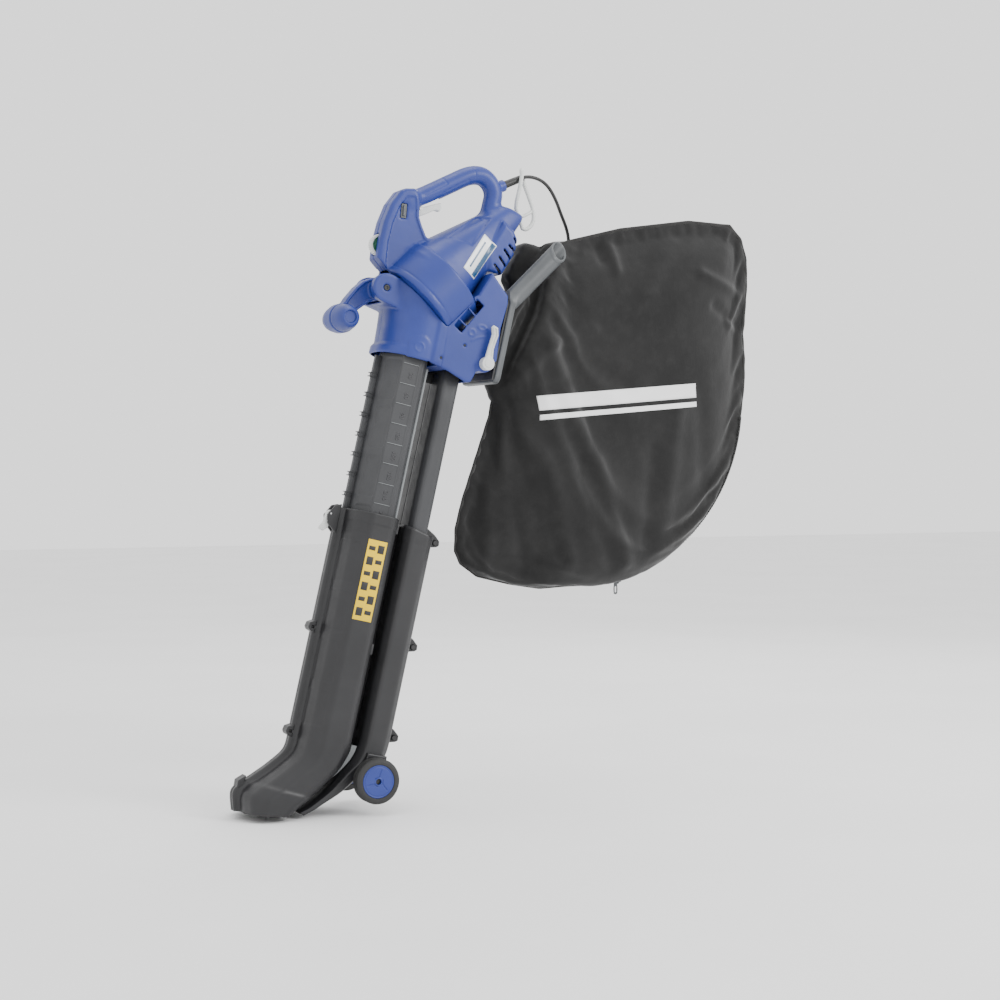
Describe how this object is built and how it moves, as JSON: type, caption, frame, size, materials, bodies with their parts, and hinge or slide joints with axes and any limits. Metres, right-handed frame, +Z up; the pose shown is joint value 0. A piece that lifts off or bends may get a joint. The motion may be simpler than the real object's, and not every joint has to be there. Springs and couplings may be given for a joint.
{
  "type": "leaf blower and vacuum",
  "caption": "Hand-held electric leaf blower and vacuum with loop handle, telescopic twin tubes, angled nozzle on wheels and a fabric collecting bag.",
  "frame": {"origin": "middle of the main grip", "axes": "+Z up in the holding position, -X towards the nozzle, +X towards the bag, -Y the user's left"},
  "size_m": [0.8676, 0.171, 0.9591],
  "materials": {
    "blue": "fine moulded texture, satin",
    "tube_grey": "fine moulded texture, satin",
    "black": "fine moulded texture, satin",
    "grey": "satin",
    "white": "smooth",
    "green": "satin",
    "board": "matt",
    "cord_rubber": "matt",
    "tyre": "matt",
    "bag_fabric": "plain weave",
    "label": "printed film",
    "steel": "turned",
    "copper": "wound",
    "carbon": "pressed"
  },
  "bodies": {
    "root": {"upper_housing_left": "blue", "upper_housing_right": "blue", "lower_housing_left": "blue", "lower_housing_right": "blue", "trigger_pin": "steel", "dial_spindle": "black", "front_handle_bolt": "steel", "strain_relief": "cord_rubber", "cord": "cord_rubber", "plug": "cord_rubber", "upper_tube_left": "tube_grey", "upper_tube_right": "tube_grey", "bag_port": "black", "stator": "steel", "brush_left": "carbon", "brush_right": "carbon", "motor_mount": "black", "front_bearing": "steel", "rear_bearing": "steel", "safety_grille": "black", "switch_body": "black", "speed_board": "board", "capacitor": "grey"},
    "trigger": {"trigger": "white"},
    "lock": {"lock_slide": "white"},
    "dial": {"speed_dial": "green"},
    "front_handle": {"front_handle_arm": "blue", "front_grip": "blue"},
    "hook": {"cable_hook": "white"},
    "changeover": {"mode_lever": "white", "changeover_shaft": "steel", "changeover_flap": "black"},
    "fan": {"motor_shaft": "steel", "rotor": "copper", "commutator": "copper", "impeller": "tube_grey"},
    "lower_tube": {"lower_tube_left": "black", "lower_tube_right": "black", "label": "label", "tube_screw_1": "steel", "tube_screw_2": "steel", "tube_screw_3": "steel", "latch_cover_left": "black", "latch_cover_right": "black", "latch_pin": "steel", "axle": "steel"},
    "latch": {"latch": "white"},
    "wheel_left": {"tyre_left": "tyre", "wheel_left": "blue"},
    "wheel_right": {"tyre_right": "tyre", "wheel_right": "blue"},
    "bag": {"bag": "bag_fabric", "bag_frame": "grey"},
    "zip_slider": {"zip_slider": "grey"},
    "zip_pull": {"zip_pull": "grey"}
  },
  "joints": [
    {"name": "trigger_pull", "type": "hinge", "parent": "root", "child": "trigger", "pos_m": [-0.03579, 0, -0.03279], "axis": [0, -1, 0], "range_deg": [0, 9], "stiffness_Nm_per_rad": 0.25, "springref_deg": -5.73},
    {"name": "lock_press", "type": "slide", "parent": "root", "child": "lock", "axis": [0, 1, 0], "range_m": [0, 0.0014], "stiffness_N_per_m": 300, "springref_m": -0.001},
    {"name": "speed_dial_turn", "type": "hinge", "parent": "root", "child": "dial", "pos_m": [-0.09711, 0, -0.08945], "axis": [0, 1, 0], "range_deg": [0, 270]},
    {"name": "front_handle_swing", "type": "hinge", "parent": "root", "child": "front_handle", "pos_m": [-0.1015, 0, -0.15514], "axis": [0, 1, 0], "range_deg": [-20, 30]},
    {"name": "cable_hook_swing", "type": "hinge", "parent": "root", "child": "hook", "pos_m": [0.13215, 0, -0.0365], "axis": [-0.3359, 0, 0.9419], "range_deg": [-3, 3]},
    {"name": "mode_change", "type": "hinge", "parent": "root", "child": "changeover", "pos_m": [0.04577, 0, -0.26406], "axis": [0, -1, 0], "range_deg": [0, 85]},
    {"name": "fan_spin", "type": "hinge", "parent": "root", "child": "fan", "pos_m": [0.02087, 0, -0.10491], "axis": [0.7408, 0, 0.6717], "continuous": true},
    {"name": "tube_telescope", "type": "slide", "parent": "root", "child": "lower_tube", "axis": [0.225, 0, 0.9744], "range_m": [0, 0.21]},
    {"name": "latch_press", "type": "hinge", "parent": "lower_tube", "child": "latch", "pos_m": [-0.17705, 0, -0.48459], "axis": [0, -1, 0], "range_deg": [0, 8], "stiffness_Nm_per_rad": 0.05, "springref_deg": -5.73},
    {"name": "wheel_left_spin", "type": "hinge", "parent": "lower_tube", "child": "wheel_left", "pos_m": [-0.1293, -0.064, -0.87124], "axis": [0, 1, 0], "continuous": true},
    {"name": "wheel_right_spin", "type": "hinge", "parent": "lower_tube", "child": "wheel_right", "pos_m": [-0.1293, 0.064, -0.87124], "axis": [0, 1, 0], "continuous": true},
    {"name": "bag_lift_off", "type": "slide", "parent": "root", "child": "bag", "axis": [0.225, 0, 0.9744], "range_m": [0, 0.018]},
    {"name": "zip_travel", "type": "hinge", "parent": "bag", "child": "zip_slider", "pos_m": [0.243, 0, -0.31], "axis": [0, 1, 0], "range_deg": [-62, 18]},
    {"name": "zip_pull_swing", "type": "hinge", "parent": "zip_slider", "child": "zip_pull", "pos_m": [0.30438, 0, -0.59875], "axis": [0, 1, 0], "range_deg": [-40, 50]}
  ]
}
